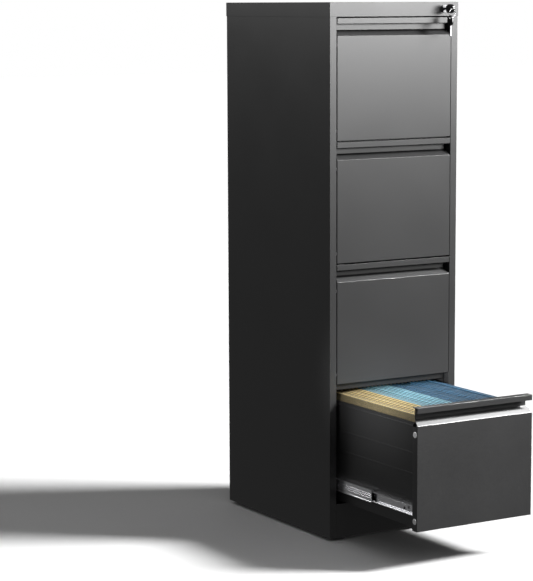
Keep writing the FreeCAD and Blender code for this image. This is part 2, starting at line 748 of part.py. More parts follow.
housing_rear = f"({front_plane} + {size('barrel_length')})"
bezel_front = f"({front_plane} - {size('bezel_length')})"
cam_front = f"({housing_rear} + {size('cam_gap')})"
cam_rear = f"({cam_front} + {size('cam_thickness')})"
tail_rear = f"({cam_rear} + {size('tail_stand')})"
bar_front = f"({front_plane} + {size('bar_set_back')})"
bar_rear = f"({bar_front} + {size('bar_thickness')})"
bar_right = f"({side_inner} - {size('bar_wall_gap')})"
bar_left = f"({bar_right} - {size('bar_width')})"
pin_across = f"({lock_across} + {size('pin_offset')})"
pin_up = f"({lock_up} + {size('pin_offset')})"
tail_half = size("tail_half")


def around_lock(half_across, half_up):
    return rectangle(f"({lock_across} - {half_across})", f"({lock_up} - {half_up})",
                     f"({lock_across} + {half_across})", f"({lock_up} + {half_up})")


def lock_housing():
    """Flanged barrel in the cap's front skirt."""
    body = new_body("lock_housing")
    centre = (lock_across, lock_up)
    add_pad(body, "XZ_Plane", bezel_front, front_plane, circle=(centre, size("bezel_radius")))
    add_pad(body, "XZ_Plane", front_plane, housing_rear, circle=(centre, size("barrel_radius")))
    add_pocket(body, "XZ_Plane", bezel_front, housing_rear,
               circle=(centre, f"({size('plug_radius')} + {size('plug_clearance')})"))
    return keep(body)


def lock_nut():
    """Thin nut that clamps the barrel from behind the skirt."""
    nut = hexagon_ring("lock_nut", f"({size('barrel_radius')} + 4)",
                       f"({size('barrel_radius')} + {size('plug_clearance')})", size("lock_nut_height"))
    nut.Placement.Rotation = FreeCAD.Rotation(FreeCAD.Vector(1, 0, 0), 90)
    place(nut, lock_across, f"({front_face} + {size('lock_nut_height')})", lock_up)
    return keep(nut, "lock_nut")


def lock_plug():
    """Turning core with the keyway and a square tail for the cam."""
    body = new_body("lock_plug")
    add_pad(body, "XZ_Plane", bezel_front, housing_rear,
            circle=((lock_across, lock_up), size("plug_radius")))
    add_pad(body, "XZ_Plane", housing_rear, tail_rear, around_lock(tail_half, tail_half))
    add_pocket(body, "XZ_Plane", bezel_front, f"{bezel_front} + {size('key_depth')} + 1",
               around_lock(f"({size('blade_thickness')} / 2 + {size('keyway_gap')})",
                           f"({size('blade_height')} / 2 + {size('keyway_gap')})"))
    add_pocket(body, "XZ_Plane", f"{tail_rear} - {size('cam_screw_length')} - {size('cam_gap')}", tail_rear,
               circle=((lock_across, lock_up), f"({size('cam_screw_radius')} + {size('plug_clearance')})"))
    return keep(body)


def lock_cam():
    """Disc on the plug's tail with the pin that drives the bar."""
    body = new_body("lock_cam")
    add_pad(body, "XZ_Plane", cam_front, cam_rear, circle=((lock_across, lock_up), size("cam_radius")))
    loose = f"({tail_half} + {size('plug_clearance')})"
    add_pocket(body, "XZ_Plane", cam_front, cam_rear, around_lock(loose, loose))
    add_pad(body, "XZ_Plane", cam_rear, f"{bar_rear} + 1", circle=((pin_across, pin_up), size("pin_radius")))
    return keep(body)


def cam_screw():
    """Screw that holds the cam on the plug's tail."""
    body = new_body("cam_screw")
    centre = (lock_across, lock_up)
    add_pad(body, "XZ_Plane", tail_rear, f"{tail_rear} + {size('cam_screw_thickness')}",
            circle=(centre, size("cam_screw_head")))
    add_pad(body, "XZ_Plane", f"{tail_rear} - {size('cam_screw_length')}", tail_rear,
            circle=(centre, size("cam_screw_radius")))
    return keep(body)


def lock_bar():
    """Flat bar down the right-hand side, with a cross slot at its head for the cam's pin."""
    body = new_body("lock_bar")
    head_left = f"({lock_across} - {size('bar_head_left')})"
    head_low = f"({pin_up} - {size('bar_head_low')})"
    head_top = f"({pin_up} + {size('bar_head_top')})"
    bar_low = f"({slide_up(DRAWERS[-1])} + {size('bar_tail')})"
    add_pad(body, "XZ_Plane", bar_front, bar_rear, [
        (bar_left, bar_low), (bar_right, bar_low), (bar_right, head_top), (head_left, head_top),
        (head_left, head_low), (bar_left, head_low)])
    reach = f"({size('pin_radius')} + {size('pin_clearance')})"
    swing = f"({size('pin_offset')} * {math.sqrt(2) - 1:.4f})"
    add_pocket(body, "XZ_Plane", bar_front, bar_rear, rectangle(
        f"({pin_across} - {reach} - 0.4)", f"({pin_up} - {reach})",
        f"({pin_across} + {swing} + {reach} + 0.4)", f"({pin_up} + {reach})"))
    return keep(body)


def lock_hooks():
    """Teeth welded to the bar, one above each drawer's lug."""
    pieces = []
    for drawer in DRAWERS:
        low = f"({slide_up(drawer)} + {size('hook_lift')})"
        hook = new_body("lock_hook")
        add_pad(hook, "XZ_Plane", bar_front, bar_rear, rectangle(
            f"({bar_left} - {size('hook_reach')})", low, bar_left, f"({low} + {size('hook_height')})"))
        pieces.append(hook)
    return gather("lock_hooks", pieces)


def lock_bar_guides():
    """Plastic guides on the front upright that the bar slides through."""
    pieces = []
    for drawer in DRAWERS:
        middle = f"({drawer_up(drawer)} + {pitch} - {size('guide_drop')})"
        low, high = f"({middle} - {size('guide_height')} / 2)", f"({middle} + {size('guide_height')} / 2)"
        guide = new_body("lock_bar_guide")
        add_pad(guide, "XY_Plane", low, high, rectangle(
            f"({bar_left} - {size('guide_wall')})", f"({bar_front} - {gap} - {size('guide_wall')})",
            f"({side_inner} - {gap})", upright_front))
        add_pocket(guide, "XY_Plane", low, high, rectangle(
            f"({bar_left} - {gap})", f"({bar_front} - {gap})",
            f"({bar_right} + {gap})", f"({bar_rear} + {gap})"))
        pieces.append(guide)
    return gather("lock_bar_guides", pieces)


# ---------------------------------------------------------------- key

bow_low = f"({lock_across} - {size('bow_thickness')} / 2)"
bow_high = f"({lock_across} + {size('bow_thickness')} / 2)"
hole_along = f"({front_plane} - {size('key_hole_reach')})"


def key():
    """Key in the lock: covered bow, standing upright, and a flat blade."""
    body = new_body("key")
    radius = size("bow_radius")
    near = f"({bezel_front} - {size('neck_length')} - {radius})"
    far = f"({near} - {size('bow_stretch')})"
    add_pad(body, "YZ_Plane", bow_low, bow_high,
            rectangle(far, f"({lock_up} - {radius})", near, f"({lock_up} + {radius})"))
    for middle in (near, far):
        add_pad(body, "YZ_Plane", bow_low, bow_high, circle=((middle, lock_up), radius))
    add_pad(body, "XZ_Plane", near, f"{bezel_front} + {size('key_depth')}",
            around_lock(f"({size('blade_thickness')} / 2)", f"({size('blade_height')} / 2)"))
    add_pocket(body, "YZ_Plane", bow_low, bow_high, circle=((hole_along, lock_up), size("key_hole_radius")))
    return keep(body)


ring_top = f"({lock_up} - {size('key_hole_radius')} + {size('ring_wire')} + {size('hang_clearance')})"


def key_ring():
    """Wire ring hanging in the key's bow."""
    ring = doc.addObject("Part::Torus", "key_ring")
    ring.setExpression("Radius1", size("ring_radius"))
    ring.setExpression("Radius2", size("ring_wire"))
    ring.Placement.Rotation = FreeCAD.Rotation(FreeCAD.Vector(1, 0, 0), 90)
    place(ring, lock_across, hole_along, f"({ring_top} - {size('ring_radius')})")
    return keep(ring, "key_ring")


# ---------------------------------------------------------------- assembly

top_cap()
side_panel("left_side_panel", -1)
side_panel("right_side_panel", 1)
back_panel()
panel_screws()
base_pan()
kick_rail()
uprights()
cross_rails()
levelling_feet()
foot_nuts()
slide_bolts()
for drawer in DRAWERS:
    slide_outer(drawer)
    slide_middle(drawer)
    slide_inner(drawer)
    drawer_front(drawer)
    drawer_liner(drawer)
    front_screws(drawer)
    drawer_tray(drawer)
    drawer_back(drawer)
folder_rails(DRAWERS[-1])
folders(DRAWERS[-1])
lock_housing()
lock_nut()
lock_plug()
lock_cam()
cam_screw()
lock_bar()
lock_hooks()
lock_bar_guides()
key()
key_ring()
doc.recompute()

# ---------------------------------------------------------------- checks and files

faults = [item.Label for item in doc.Objects if {"Invalid", "Error"} & set(item.State)]
for item in doc.Objects:
    if item.TypeId == "PartDesign::Pocket" and not item.Shape.Volume < item.BaseFeature.Shape.Volume - 1e-6:
        faults.append(f"{item.getParentGeoFeatureGroup().Label} pocket cuts nothing")
for node in NODES:
    if node.Shape.isNull() or not node.Shape.isValid() or not node.Shape.Solids:
        faults.append(node.Label)
if faults:
    raise RuntimeError(f"faulty objects: {sorted(set(faults))}")

os.makedirs("parts", exist_ok=True)
for node in NODES:
    node.Shape.exportStep(f"parts/{node.Label}.step")
print(len(NODES), "sub-parts written")
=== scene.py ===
import json
import math
import random

import bmesh
import bpy
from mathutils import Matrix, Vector

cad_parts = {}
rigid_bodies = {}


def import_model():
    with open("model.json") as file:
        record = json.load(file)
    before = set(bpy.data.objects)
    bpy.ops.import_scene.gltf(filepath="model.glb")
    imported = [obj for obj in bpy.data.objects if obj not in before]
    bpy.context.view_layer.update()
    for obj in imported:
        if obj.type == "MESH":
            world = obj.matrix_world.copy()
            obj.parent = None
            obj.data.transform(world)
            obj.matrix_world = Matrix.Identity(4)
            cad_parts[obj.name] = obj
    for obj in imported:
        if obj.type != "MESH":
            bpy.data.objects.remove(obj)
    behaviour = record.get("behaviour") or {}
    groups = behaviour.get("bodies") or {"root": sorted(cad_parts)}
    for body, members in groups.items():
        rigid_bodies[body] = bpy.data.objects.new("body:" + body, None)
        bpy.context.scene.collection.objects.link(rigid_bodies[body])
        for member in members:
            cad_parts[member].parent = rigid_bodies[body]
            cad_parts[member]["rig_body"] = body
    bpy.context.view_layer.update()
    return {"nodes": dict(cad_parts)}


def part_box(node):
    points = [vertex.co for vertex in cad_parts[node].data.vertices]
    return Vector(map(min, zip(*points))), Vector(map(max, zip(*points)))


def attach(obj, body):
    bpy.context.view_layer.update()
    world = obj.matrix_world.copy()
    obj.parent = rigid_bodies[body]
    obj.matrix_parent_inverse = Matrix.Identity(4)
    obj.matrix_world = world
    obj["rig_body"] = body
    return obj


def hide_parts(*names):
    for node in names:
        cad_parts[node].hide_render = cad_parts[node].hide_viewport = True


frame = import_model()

# ---------------------------------------------------------------- top cap
# A pan of 1 mm steel folded down all round, which laps over the side panels and the back.
# It is powder coated dark grey with a fine orange-peel texture, like the rest of the outside.


class Wired:
    """A node's output. Sums written with it add Math nodes."""

    def __init__(self, finish, socket):
        self.finish = finish
        self.socket = socket

    def joined(self, operation, first, second):
        return self.finish.joined(operation, first, second)

    def __add__(self, other):
        return self.joined("ADD", self, other)

    __radd__ = __add__

    def __sub__(self, other):
        return self.joined("SUBTRACT", self, other)

    def __rsub__(self, other):
        return self.joined("SUBTRACT", other, self)

    def __mul__(self, other):
        return self.joined("MULTIPLY", self, other)

    __rmul__ = __mul__

    def __gt__(self, other):
        return self.joined("GREATER_THAN", self, other)


class Finish:
    """A material, the record's slot that it belongs to, and the nodes that make it."""

    def __init__(self, name, slot, roughness, metallic=0.0, coat=0.0):
        self.slot = slot
        self.material = bpy.data.materials.new(name)
        self.material.use_nodes = True
        self.shader = self.material.node_tree.nodes["Principled BSDF"]
        self.shader.inputs["Roughness"].default_value = roughness
        self.shader.inputs["Metallic"].default_value = metallic
        self.shader.inputs["Coat Weight"].default_value = coat
        self.shader.inputs["Coat Roughness"].default_value = 0.25
        self.place = self.node("ShaderNodeTexCoord", {}, {}, output="Object")

    def node(self, kind, settings, inputs, output=0):
        made = self.material.node_tree.nodes.new(kind)
        for setting, value in settings.items():
            setattr(made, setting, value)
        for name, value in inputs.items():
            self.feed(made.inputs[name], value)
        return Wired(self, made.outputs[output])

    def feed(self, socket, value):
        if isinstance(value, Wired):
            self.material.node_tree.links.new(value.socket, socket)
        else:
            socket.default_value = value

    def joined(self, operation, first, second):
        return self.node("ShaderNodeMath", {"operation": operation}, {0: first, 1: second})

    def stretched(self, scale):
        return self.node("ShaderNodeMapping", {}, {"Vector": self.place, "Scale": scale})

    def noise(self, scale, detail=2.0, place=None):
        inputs = {"Vector": place or self.place, "Scale": scale, "Detail": detail}
        return self.node("ShaderNodeTexNoise", {}, inputs)

    def blend(self, share, low, high):
        """A mix of two colours: a Mix node's sockets 6, 7 and 2 are its colours."""
        return self.node("ShaderNodeMix", {"data_type": "RGBA"}, {0: share, 6: low, 7: high}, output=2)

    def colour(self, share, low, high):
        self.feed(self.shader.inputs["Base Color"], self.blend(share, (*low, 1), (*high, 1)))

    def roughness(self, value):
        self.feed(self.shader.inputs["Roughness"], value)

    def bump(self, height, depth, strength):
        inputs = {"Strength": strength, "Distance": depth, "Height": height}
        self.feed(self.shader.inputs["Normal"], self.node("ShaderNodeBump", {}, inputs))


def powder_coat(name, slot, grey, roughness):
    """Satin powder coat: fine orange peel, faint clouding and a few specks of dust."""
    finish = Finish(name, slot, roughness)
    peel = finish.noise(520, 2)
    cloud = finish.noise(5, 3)
    dust = finish.noise(1900, 1) > 0.71
    shade = cloud * 0.75 + dust * 0.5
    finish.colour(shade, [tone * 0.9 for tone in grey], [tone * 1.12 for tone in grey])
    finish.roughness(roughness + (peel - 0.5) * 0.16 + (cloud - 0.5) * 0.08)
    finish.bump(peel, 0.00006, 0.5)
    return finish


def select_only(piece):
    bpy.ops.object.select_all(action="DESELECT")
    piece.select_set(True)
    bpy.context.view_layer.objects.active = piece


def smooth(piece, angle=40):
    """Smooth shading that leaves flat faces flat."""
    select_only(piece)
    bpy.ops.object.shade_smooth_by_angle(angle=math.radians(angle))
    piece.modifiers.new("flats", "WEIGHTED_NORMAL").keep_sharp = True
    bpy.ops.object.modifier_apply(modifier="flats")


def merged_copy(node, name):
    """A copy of a CAD node with its triangles joined into whole flat faces."""
    piece = bpy.data.objects.new(name, frame["nodes"][node].data.copy())
    bpy.context.scene.collection.objects.link(piece)
    select_only(piece)
    bpy.ops.mesh.customdata_custom_splitnormals_clear()
    bpy.ops.object.mode_set(mode="EDIT")
    bpy.ops.mesh.select_all(action="SELECT")
    bpy.ops.mesh.remove_doubles(threshold=0.00002)
    bpy.ops.mesh.dissolve_limited(angle_limit=math.radians(1))
    bpy.ops.object.mode_set(mode="OBJECT")
    return piece


def select_edges(piece, wanted):
    """Goes into edit mode with only the wanted edges selected."""
    select_only(piece)
    bpy.ops.object.mode_set(mode="EDIT")
    bpy.ops.mesh.select_mode(type="EDGE")
    bpy.ops.mesh.select_all(action="DESELECT")
    mesh = bmesh.from_edit_mesh(piece.data)
    for edge in mesh.edges:
        if len(edge.link_faces) == 2 and wanted(edge):
            edge.select_set(True)
    mesh.select_flush_mode()
    bmesh.update_edit_mesh(piece.data)


def round_folds(piece, radius):
    """Rounds the outside of each fold; the cut edges of the sheet stay square."""
    gauge = 0.001

    def outer_fold(edge):
        wide = all(face.calc_area() > 2.5 * gauge * edge.calc_length() for face in edge.link_faces)
        return wide and edge.calc_face_angle_signed(0) > math.radians(20)

    select_edges(piece, outer_fold)
    bpy.ops.mesh.bevel(offset=radius, segments=4, affect="EDGES", clamp_overlap=True)
    bpy.ops.object.mode_set(mode="OBJECT")


def soften(piece, width, segments=2, angle=30):
    """Takes the sharpness off every corner of a solid piece."""
    select_only(piece)
    edges = piece.modifiers.new("edges", "BEVEL")
    edges.width = width
    edges.segments = segments
    edges.limit_method = "ANGLE"
    edges.angle_limit = math.radians(angle)
    bpy.ops.object.modifier_apply(modifier="edges")


def fit(piece, body, finish, *nodes):
    """Gives a piece its finish and its body, and hides the CAD nodes that it stands for."""
    piece.data.materials.clear()
    piece.data.materials.append(finish.material)
    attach(piece, body)
    if nodes:
        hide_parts(*nodes)
    return piece


def remake(node, finish, fold=0.0, edge=0.0):
    """A CAD node with rounded folds or softened edges, on the body that the node belongs to."""
    piece = merged_copy(node, node + "_made")
    if fold:
        round_folds(piece, fold)
    if edge:
        soften(piece, edge)
    smooth(piece)
    return fit(piece, frame["nodes"][node]["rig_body"], finish, node)


outside_paint = powder_coat("outside_powder_coat", "grey_powder_coat", (0.027, 0.027, 0.0275), 0.36)
remake("top_cap", outside_paint, fold=0.002)

# ---------------------------------------------------------------- side panels and back
# Each side is one folded sheet with a boxed post at the front and a flange at the rear.
# The back is a flat sheet held on the flanges by eight cross-recessed screws.

remake("left_side_panel", outside_paint, fold=0.002)
remake("right_side_panel", outside_paint, fold=0.002)
remake("back_panel", outside_paint, edge=0.0003)


def zinc_plate(name, slot, grey, roughness, grain):
    """Bright zinc plate: fine rolling lines along the grain and pale and dark patches."""
    finish = Finish(name, slot, roughness, metallic=1.0)
    lines = finish.noise(1, 3, finish.stretched(grain))
    patches = finish.noise(60, 2)
    finish.colour(lines * 0.6 + patches * 0.4, [tone * 0.86 for tone in grey], grey)
    finish.roughness(roughness + (lines - 0.5) * 0.1 + (patches - 0.5) * 0.06)
    finish.bump(lines, 0.000001, 0.3)
    return finish


def add_tube(name, start, end, radius, sides=32):
    """A solid cylinder between two points, its place in its mesh."""
    start = Vector(start)
    end = Vector(end)
    bpy.ops.object.select_all(action="DESELECT")
    bpy.ops.mesh.primitive_cylinder_add(
        vertices=sides, radius=radius, depth=(end - start).length, location=(start + end) / 2,
        rotation=(end - start).to_track_quat("Z", "Y").to_euler())
    return settle(name)


def add_block(name, low, high):
    """A block between two corners, its place in its mesh."""
    low = Vector(low)
    high = Vector(high)
    bpy.ops.object.select_all(action="DESELECT")
    bpy.ops.mesh.primitive_cube_add(size=1, location=(low + high) / 2)
    bpy.context.object.scale = high - low
    return settle(name)


def settle(name):
    """Applies a new object's place and turn to its mesh."""
    piece = bpy.context.object
    piece.name = name
    bpy.ops.object.transform_apply(location=True, rotation=True, scale=True)
    return piece


def cut(piece, tool):
    """Takes one solid away from another and removes the tool."""
    select_only(piece)
    hole = piece.modifiers.new("hole", "BOOLEAN")
    hole.operation = "DIFFERENCE"
    hole.solver = "EXACT"
    hole.object = tool
    bpy.ops.object.modifier_apply(modifier="hole")
    bpy.data.objects.remove(tool)


def weld(name, pieces):
    """Joins several objects into one piece."""
    bpy.ops.object.select_all(action="DESELECT")
    for piece in pieces:
        piece.select_set(True)
    bpy.context.view_layer.objects.active = pieces[0]
    bpy.ops.object.join()
    pieces[0].name = name
    return pieces[0]


def add_screw_head(base, outward, radius, height, recess):
    """A domed screw head on a face, with a cross recess."""
    base = Vector(base)
    outward = Vector(outward)
    head = add_tube("screw_head", base, base + outward * height, radius)

    def rim(edge):
        out = all((vertex.co - base).dot(outward) > height * 0.9 for vertex in edge.verts)
        return out and edge.calc_face_angle(0) > math.radians(30)

    select_edges(head, rim)
    bpy.ops.mesh.bevel(offset=height * 0.8, segments=4, affect="EDGES")
    bpy.ops.object.mode_set(mode="OBJECT")
    across = Vector((0, 0, 1))
    side = outward.cross(across)
    for long, short in ((across, side), (side, across)):
        reach = long * recess + short * recess * 0.22
        low = base + outward * height * 0.45 - reach
        high = base + outward * height * 1.5 + reach
        low, high = [Vector(map(chosen, low, high)) for chosen in (min, max)]
        cut(head, add_block("recess", low, high))
    smooth(head, 30)
    return head


screw_zinc = zinc_plate("screw_zinc", "zinc_plate", (0.62, 0.62, 0.64), 0.34, (300, 300, 300))
low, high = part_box("panel_screws")
radius = 0.0045
head_height = 0.001
recess_reach = 0.0024
shank_radius = 0.0024
heads = []
for across in (low.x + radius, high.x - radius):
    for step in range(4):
        up = low.z + radius + step * (high.z - low.z - 2 * radius) / 3
        seat = (across, high.y - head_height, up)
        heads.append(add_screw_head(seat, (0, 1, 0), radius, head_height, recess_reach))
        heads.append(add_tube("shank", (across, low.y, up), seat, shank_radius, 16))
fit(weld("panel_screws_made", heads), "cabinet", screw_zinc, "panel_screws")

# ---------------------------------------------------------------- base pan, kick rail and inner frame
# The floor sheet and the channel under the bottom drawer close the cabinet's foot.
# Four channels carry the slides and three cross rails hold the sides apart, all welded and painted.

inside_paint = powder_coat("inside_powder_coat", "grey_powder_coat", (0.022, 0.022, 0.0225), 0.46)
remake("base_pan", inside_paint, fold=0.0012)
remake("kick_rail", outside_paint, fold=0.002)
remake("cross_rails", inside_paint, fold=0.0012)
remake("uprights", inside_paint, fold=0.0012)

# ---------------------------------------------------------------- levelling feet
# Black moulded pads on threaded steel studs, screwed into nuts welded on the base pan.
# Finger notches round each pad let it be turned by hand.

black_plastic = Finish("black_moulded_plastic", "foot_plastic", 0.5)
grain = black_plastic.noise(900, 3)
black_plastic.colour(grain, (0.012, 0.012, 0.012), (0.026, 0.026, 0.027))
black_plastic.roughness(0.42 + grain * 0.2)
black_plastic.bump(grain, 0.00005, 0.6)

low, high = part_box("levelling_feet")
pad_radius = 0.022
pad_height = 0.0055
collar_top = 0.0078
notches = 12
turns = 15
feet = []
for across in (low.x + pad_radius, high.x - pad_radius):
    for along in (low.y + pad_radius, high.y - pad_radius):
        pad = add_tube("foot_pad", (across, along, low.z), (across, along, low.z + pad_height),
                       pad_radius, 72)
        for notch in range(notches):
            angle = 2 * math.pi * notch / notches
            x = across + math.cos(angle) * (pad_radius + 0.0018)
            y = along + math.sin(angle) * (pad_radius + 0.0018)
            cut(pad, add_tube("notch", (x, y, 0.0016), (x, y, 0.01), 0.003, 16))
        soften(pad, 0.0006, 2, 50)
        collar = add_tube("foot_collar", (across, along, pad_height), (across, along, collar_top),
                          0.008, 32)
        stud = [add_tube("stud", (across, along, collar_top), (across, along, high.z), 0.0044, 24)]
        for turn in range(turns):
            up = 0.0086 + turn * (high.z - 0.0096) / turns
            ridge = add_tube("thread", (across, along, up), (across, along, up + 0.0008), 0.005, 24)
            soften(ridge, 0.00035, 1)
            stud.append(ridge)
        feet += [pad, collar, *stud]
feet_made = weld("levelling_feet_made", feet)
smooth(feet_made)
fit(feet_made, "cabinet", black_plastic, "levelling_feet")
remake("foot_nuts", screw_zinc, edge=0.0005)

# ---------------------------------------------------------------- telescopic slides
# Each drawer runs on a pair of three-member ball slides in bright zinc-plated steel.
# The members are rolled: their edges curl round the balls, and pressed beads stiffen the webs.

slide_zinc = zinc_plate("slide_zinc", "slide_zinc", (0.80, 0.80, 0.82), 0.24, (2600, 10, 2600))
# Painted shade: the slide holes are thin near-black discs laid on the web, not cut through.
hole_shade = Finish("painted_hole_shade", "drawer_paint", 0.7)
hole_shade.colour(hole_shade.noise(300), (0.004, 0.004, 0.004), (0.012, 0.012, 0.012))
rubber = Finish("grey_slide_bumper", "foot_plastic", 0.6)
rubber.colour(rubber.noise(700), (0.02, 0.02, 0.02), (0.06, 0.06, 0.06))


def add_bead(name, across, along, up, reach, thickness):
    """A pressed half-round bead along a slide's web, with rounded ends."""
    bead = add_tube(name, (across, along[0], up), (across, along[1], up), reach, 16)
    squash = thickness / reach
    select_only(bead)
    bpy.ops.object.mode_set(mode="EDIT")
    bpy.ops.mesh.select_all(action="SELECT")
    bpy.ops.transform.resize(value=(squash, 1, 1), center_override=(across, 0, up))
    bpy.ops.object.mode_set(mode="OBJECT")
    soften(bead, thickness * 0.8, 3, 50)
    return bead


def sink_web(piece, border, depth):
    """Presses in the wide outer face of each member, which leaves raised rounded edges."""
    select_only(piece)
    bpy.ops.object.mode_set(mode="EDIT")
    bpy.ops.mesh.select_mode(type="FACE")
    for side in (-1, 1):
        bpy.ops.mesh.select_all(action="DESELECT")
        mesh = bmesh.from_edit_mesh(piece.data)
        webs = [face for face in mesh.faces
                if face.normal.x * side > 0.99 and face.calc_center_median().x * side > 0]
        max(webs, key=lambda face: face.calc_area()).select_set(True)
        bmesh.update_edit_mesh(piece.data)
        bpy.ops.mesh.inset(thickness=border, depth=0)
        bpy.ops.mesh.inset(thickness=depth, depth=0)
        bpy.ops.transform.translate(value=(-side * depth, 0, 0))
    bpy.ops.object.mode_set(mode="OBJECT")


def rolled_edges(low, high, radius, middle=None, half=None):
    """Round rims along the top and bottom edges of both members of a pair."""
    if middle is None:
        middle = (low.z + high.z) / 2
        half = (high.z - low.z) / 2
    rims = []
    for side in (-1, 1):
        across = side * (-low.x - radius)
        for lift in (-1, 1):
            up = middle + lift * (half - radius)
            rims.append(add_tube("rim", (across, low.y + 0.001, up), (across, high.y - 0.001, up),
                                 radius, 20))
    return rims


bead_depth = 0.0008
bead_pitch = 0.0048
hole_radius = 0.0036
for drawer in (1, 2, 3, 4):
    body = f"drawer_{drawer}"
    slider = f"slide_{drawer}"
    remake(f"slide_outer_{drawer}", slide_zinc, fold=0.003)

    low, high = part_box(f"slide_middle_{drawer}")
    middle = merged_copy(f"slide_middle_{drawer}", f"slide_middle_{drawer}_made")
    sink_web(middle, 0.0022, 0.0008)
    slide_up = (low.z + high.z) / 2
    parts = [middle]
    bumpers = []
    for side in (-1, 1):
        web = side * (high.x - bead_depth)
        ends = (low.y + 0.003, high.y - 0.003)
        for lift in (-bead_pitch, 0, bead_pitch):
            parts.append(add_bead("bead", web, ends, slide_up + lift, 0.0013, bead_depth))
        parts.append(add_tube("curl", (web, low.y + bead_depth, low.z + 0.002),
                              (web, low.y + bead_depth, high.z - 0.002), bead_depth, 20))
        bumper = sorted((side * (high.x - 0.0017), side * (high.x - 0.001)))
        bumpers.append(add_block("bumper", (bumper[0], low.y + 0.0018, low.z + 0.006),
                                 (bumper[1], low.y + 0.006, high.z - 0.006)))
    parts += rolled_edges(low, high, 0.0014)
    middle_made = weld(f"slide_middle_{drawer}_made", parts)
    smooth(middle_made)
    fit(middle_made, slider, slide_zinc, f"slide_middle_{drawer}")
    bumpers_made = weld(f"slide_bumpers_{drawer}", bumpers)
    smooth(bumpers_made)
    fit(bumpers_made, slider, rubber)

    low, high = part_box(f"slide_inner_{drawer}")
    inner = merged_copy(f"slide_inner_{drawer}", f"slide_inner_{drawer}_made")
    sink_web(inner, 0.0026, 0.0005)
    rims = rolled_edges(low, high, 0.0013, slide_up, 0.0125)
    inner = weld(f"slide_inner_{drawer}_made", [inner, *rims])
    smooth(inner)
    fit(inner, body, slide_zinc, f"slide_inner_{drawer}")
    # Each hole is a thin near-black disc on the web: painted shade where a hole would show.
    holes = []
    for side in (-1, 1):
        web = side * (abs(low.x) - 0.0005)
        for set_back in (0.035, 0.2, 0.36):
            holes.append(add_tube("hole", (web - side * 0.0004, low.y + set_back, slide_up),
                                  (web + side * 0.00015, low.y + set_back, slide_up), hole_radius, 24))
    fit(weld(f"slide_inner_holes_{drawer}", holes), body, hole_shade)

heads = []
low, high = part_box("slide_bolts")
bolt_ends = (low.y + 0.0045, high.y - 0.0045)
for drawer in (1, 2, 3, 4):
    outer_low, outer_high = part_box(f"slide_outer_{drawer}")
    up = (outer_low.z + outer_high.z) / 2
    for side in (-1, 1):
        face = side * (outer_high.x - 0.0012)
        for along in bolt_ends:
            heads.append(add_screw_head((face, along, up), (-side, 0, 0), 0.0045, 0.0014, recess_reach))
            heads.append(add_tube("shank", (face, along, up), (side * 0.176, along, up), shank_radius, 16))
fit(weld("slide_bolts_made", heads), "cabinet", screw_zinc, "slide_bolts")

# ---------------------------------------------------------------- drawer fronts
# One folded sheet each: a flat panel, a slanted finger recess the full width of the drawer,
# a rear wall and a lip turned down and hemmed at the top. Powder coated like the outside.

front_paint = powder_coat("front_powder_coat", "front_powder_coat", (0.029, 0.029, 0.0295), 0.36)
for drawer in (1, 2, 3, 4):
    remake(f"drawer_front_{drawer}", front_paint, fold=0.0024)

# ---------------------------------------------------------------- drawer bodies
# The liner closes the back of each front; the tray is one sheet folded up at both sides with
# hemmed top edges, and a hemmed plate closes the rear. All are painted nearly black.

drawer_paint = powder_coat("drawer_dark_paint", "drawer_paint", (0.017, 0.017, 0.0175), 0.44)
for drawer in (1, 2, 3, 4):
    body = f"drawer_{drawer}"
    remake(f"drawer_liner_{drawer}", drawer_paint, fold=0.0012)
    remake(f"drawer_tray_{drawer}", drawer_paint, fold=0.0014)
    remake(f"drawer_back_{drawer}", drawer_paint, fold=0.0012)
    low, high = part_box(f"drawer_tray_{drawer}")
    ribs = []
    for side in (-1, 1):
        face = side * (high.x - 0.0002)
        for drop, reach in ((0.0085, 0.0012), (0.075, 0.0035), (0.125, 0.0035)):
            ends = (low.y + 0.012, high.y - 0.02)
            ribs.append(add_bead("rib", face, ends, high.z - drop, reach, 0.0007))
    ribs_made = weld(f"drawer_tray_ribs_{drawer}", ribs)
    smooth(ribs_made)
    fit(ribs_made, body, drawer_paint)

# ---------------------------------------------------------------- front screws
# Four large domed screws in each front's side returns hold the front on its liner.
# They are dull pale grey and show beside the open drawer's front.

screw_grey = zinc_plate("dull_screw_grey", "screw_cap_grey", (0.86, 0.86, 0.87), 0.5, (300, 300, 300))
screw_grey.shader.inputs["Metallic"].default_value = 0.5
dome_height = 0.0012
for drawer in (1, 2, 3, 4):
    low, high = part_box(f"front_screws_{drawer}")
    radius = (high.y - low.y) / 2
    middle = (low.y + high.y) / 2
    heads = []
    for side in (-1, 1):
        face = side * (high.x - dome_height)
        for up in (low.z + radius, high.z - radius):
            seat = (face, middle, up)
            heads.append(add_screw_head(seat, (side, 0, 0), radius, dome_height, 0.0034))
            heads.append(add_tube("shank", seat, (face - side * 0.006, middle, up), shank_radius, 16))
    screws_made = weld(f"front_screws_made_{drawer}", heads)
    fit(screws_made, f"drawer_{drawer}", screw_grey, f"front_screws_{drawer}")

# ---------------------------------------------------------------- hanging folders
# Card folders in three colours hang from flat steel rods, which rest on two bars across the
# bottom drawer. Each folder's card is folded over its rod and spreads round the paper in it.


